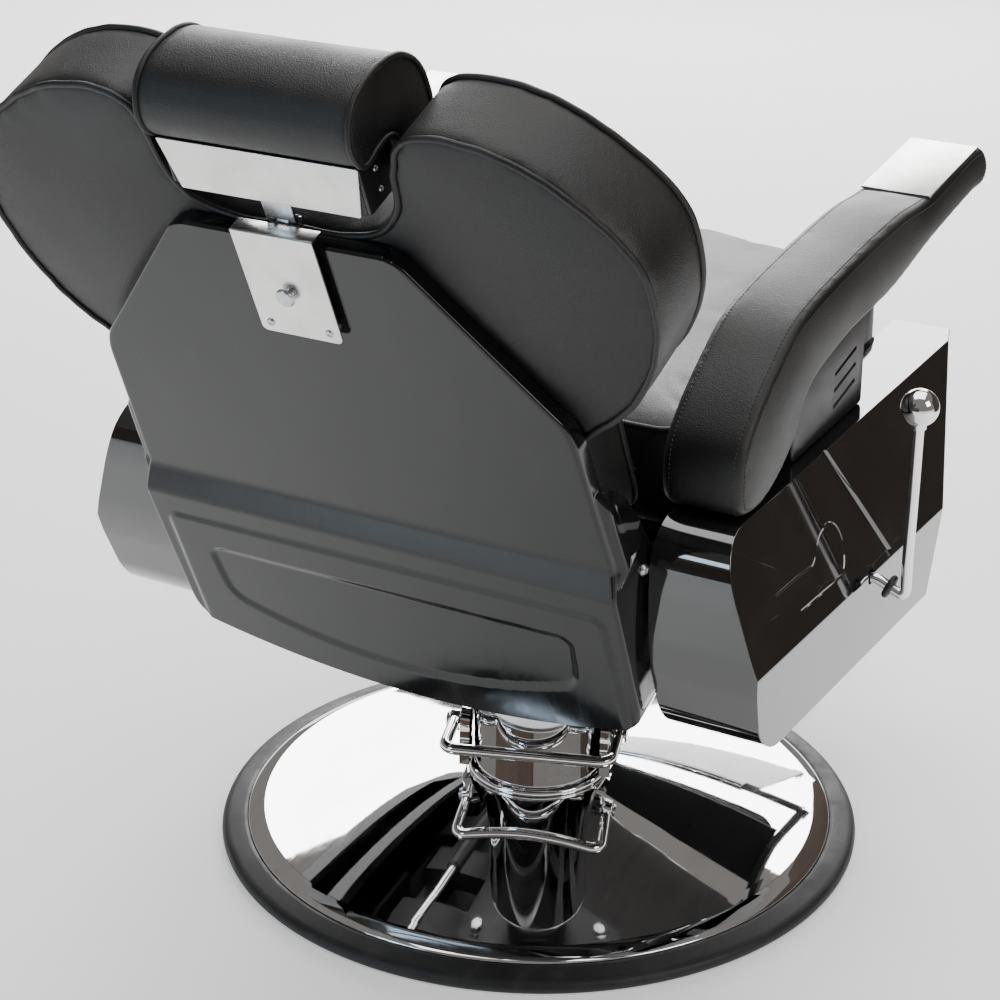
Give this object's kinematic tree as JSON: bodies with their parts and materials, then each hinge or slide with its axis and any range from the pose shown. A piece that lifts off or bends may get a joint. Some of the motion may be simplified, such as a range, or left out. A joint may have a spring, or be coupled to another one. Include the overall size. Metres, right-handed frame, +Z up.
{
  "type": "hydraulic barber chair",
  "caption": "Barber chair with a round pedal-pumped hydraulic base, swivel seat, reclining two-lobed back, linked legrest, folding footplate and sliding, tilting headrest.",
  "frame": {"origin": "centre of the base on the floor, on the swivel axis", "axes": "+Z up along the pump, the sitter faces -Y, the sitter's left is +X"},
  "size_m": [0.8196, 1.1125, 0.9716],
  "materials": {
    "black_rubber": "matte moulded rubber",
    "chrome": "mirror chrome plate",
    "bright_stainless": "fine brushed bright stainless",
    "cast_iron": "black painted casting",
    "black_frame_paint": "satin black paint",
    "zinc_steel": "zinc plated",
    "plywood": "raw birch plywood",
    "black_vinyl": "fine pebbled upholstery vinyl with soft sheen",
    "gloss_black_shell": "high gloss moulded plastic"
  },
  "bodies": {
    "base": {"base_trim_ring": "black_rubber", "base_dome": "chrome", "base_plate": "cast_iron", "pump_flange": "cast_iron", "flange_bolts": "zinc_steel", "pump_cylinder": "zinc_steel", "pump_cover": "chrome", "pump_foot_ring": "chrome", "pump_top_cap": "chrome", "piston_seal": "black_rubber", "pedal_brackets": "chrome", "pedal_pins": "zinc_steel"},
    "pedal": {"pedal_bar": "chrome"},
    "plunger": {"pump_plunger": "zinc_steel"},
    "lift": {"piston": "chrome", "swivel_bearing": "zinc_steel"},
    "seat": {"seat_socket": "black_frame_paint", "seat_bolts": "zinc_steel", "seat_frame": "black_frame_paint", "seat_board": "plywood", "seat_cushion": "black_vinyl", "side_shell_left": "gloss_black_shell", "side_shell_right": "gloss_black_shell", "arm_bracket_left": "black_frame_paint", "arm_bracket_right": "black_frame_paint", "arm_cover_left": "gloss_black_shell", "arm_cover_right": "gloss_black_shell", "arm_board_left": "plywood", "arm_board_right": "plywood", "arm_pad_left": "black_vinyl", "arm_pad_right": "black_vinyl", "arm_plate_left": "bright_stainless", "arm_plate_right": "bright_stainless", "recline_pins": "zinc_steel", "legrest_pins": "zinc_steel"},
    "strut": {"strut_cylinder": "black_frame_paint"},
    "strut_piston": {"strut_rod": "chrome"},
    "lever": {"recline_lever": "chrome", "lever_knob": "chrome", "lever_ring": "black_rubber"},
    "back": {"back_frame": "black_frame_paint", "back_board": "plywood", "back_shell": "gloss_black_shell", "back_cushion": "black_vinyl", "back_screws": "zinc_steel", "headrest_bracket": "bright_stainless", "headrest_socket": "zinc_steel"},
    "button": {"headrest_button": "chrome"},
    "post": {"headrest_post": "bright_stainless"},
    "headrest": {"headrest_leaf": "bright_stainless", "headrest_pin": "zinc_steel", "headrest_box": "black_frame_paint", "headrest_plate": "bright_stainless", "headrest_end_caps": "gloss_black_shell", "headrest_cushion": "black_vinyl", "headrest_screws": "zinc_steel"},
    "legrest": {"legrest_frame": "black_frame_paint", "legrest_pad": "black_vinyl"},
    "footrest": {"footrest_plate": "chrome"}
  },
  "joints": [
    {"name": "seat_lift", "type": "slide", "parent": "base", "child": "lift", "axis": [0, 0, 1], "range_m": [0, 0.16]},
    {"name": "seat_swivel", "type": "hinge", "parent": "lift", "child": "seat", "pos_m": [0, 0, 0.35], "axis": [0, 0, 1], "continuous": true},
    {"name": "back_recline", "type": "hinge", "parent": "seat", "child": "back", "pos_m": [0, 0.197, 0.425], "axis": [-1, 0, 0], "range_deg": [0, 45]},
    {"name": "legrest_swing", "type": "hinge", "parent": "seat", "child": "legrest", "pos_m": [0, -0.365, 0.44], "axis": [-1, 0, 0], "range_deg": [0, 55.01]},
    {"name": "footrest_fold", "type": "hinge", "parent": "legrest", "child": "footrest", "pos_m": [0, -0.445, 0.215], "axis": [-1, 0, 0], "range_deg": [0, 75]},
    {"name": "lever_pull", "type": "hinge", "parent": "seat", "child": "lever", "pos_m": [-0.26, 0.014, 0.392], "axis": [-1, 0, 0], "range_deg": [0, 30], "stiffness_Nm_per_rad": 3, "springref_deg": -8.59},
    {"name": "strut_swing", "type": "hinge", "parent": "seat", "child": "strut", "pos_m": [0.15, -0.15, 0.33], "axis": [1, 0, 0], "range_deg": [0, 12.6]},
    {"name": "strut_stroke", "type": "slide", "parent": "strut", "child": "strut_piston", "axis": [0, 0.9998, -0.0198], "range_m": [-0.059, 0]},
    {"name": "pedal_press", "type": "hinge", "parent": "base", "child": "pedal", "pos_m": [-0.00407, 0.01129, 0.118], "axis": [-0.9409, -0.3387, 0], "range_deg": [0, 24], "stiffness_Nm_per_rad": 8, "springref_deg": -8.59},
    {"name": "plunger_stroke", "type": "slide", "parent": "base", "child": "plunger", "axis": [0, 0, -1], "range_m": [0, 0.0101]},
    {"name": "headrest_slide", "type": "slide", "parent": "back", "child": "post", "axis": [0, 0.3962, 0.9182], "range_m": [0, 0.1]},
    {"name": "headrest_tilt", "type": "hinge", "parent": "post", "child": "headrest", "pos_m": [0, 0.4485, 0.81508], "axis": [1, 0, 0], "range_deg": [-25, 10]},
    {"name": "headrest_release", "type": "slide", "parent": "back", "child": "button", "axis": [0, -0.9182, 0.3962], "range_m": [0, 0.004], "stiffness_N_per_m": 900, "springref_m": -0.002}
  ],
  "couplings": [
    {"joint": "legrest_swing", "follows": "back_recline", "ratio": 1.2222},
    {"joint": "strut_swing", "follows": "back_recline", "ratio": 0.2773},
    {"joint": "strut_stroke", "follows": "back_recline", "m_per_rad": -0.07436},
    {"joint": "plunger_stroke", "follows": "pedal_press", "m_per_rad": 0.02387}
  ]
}
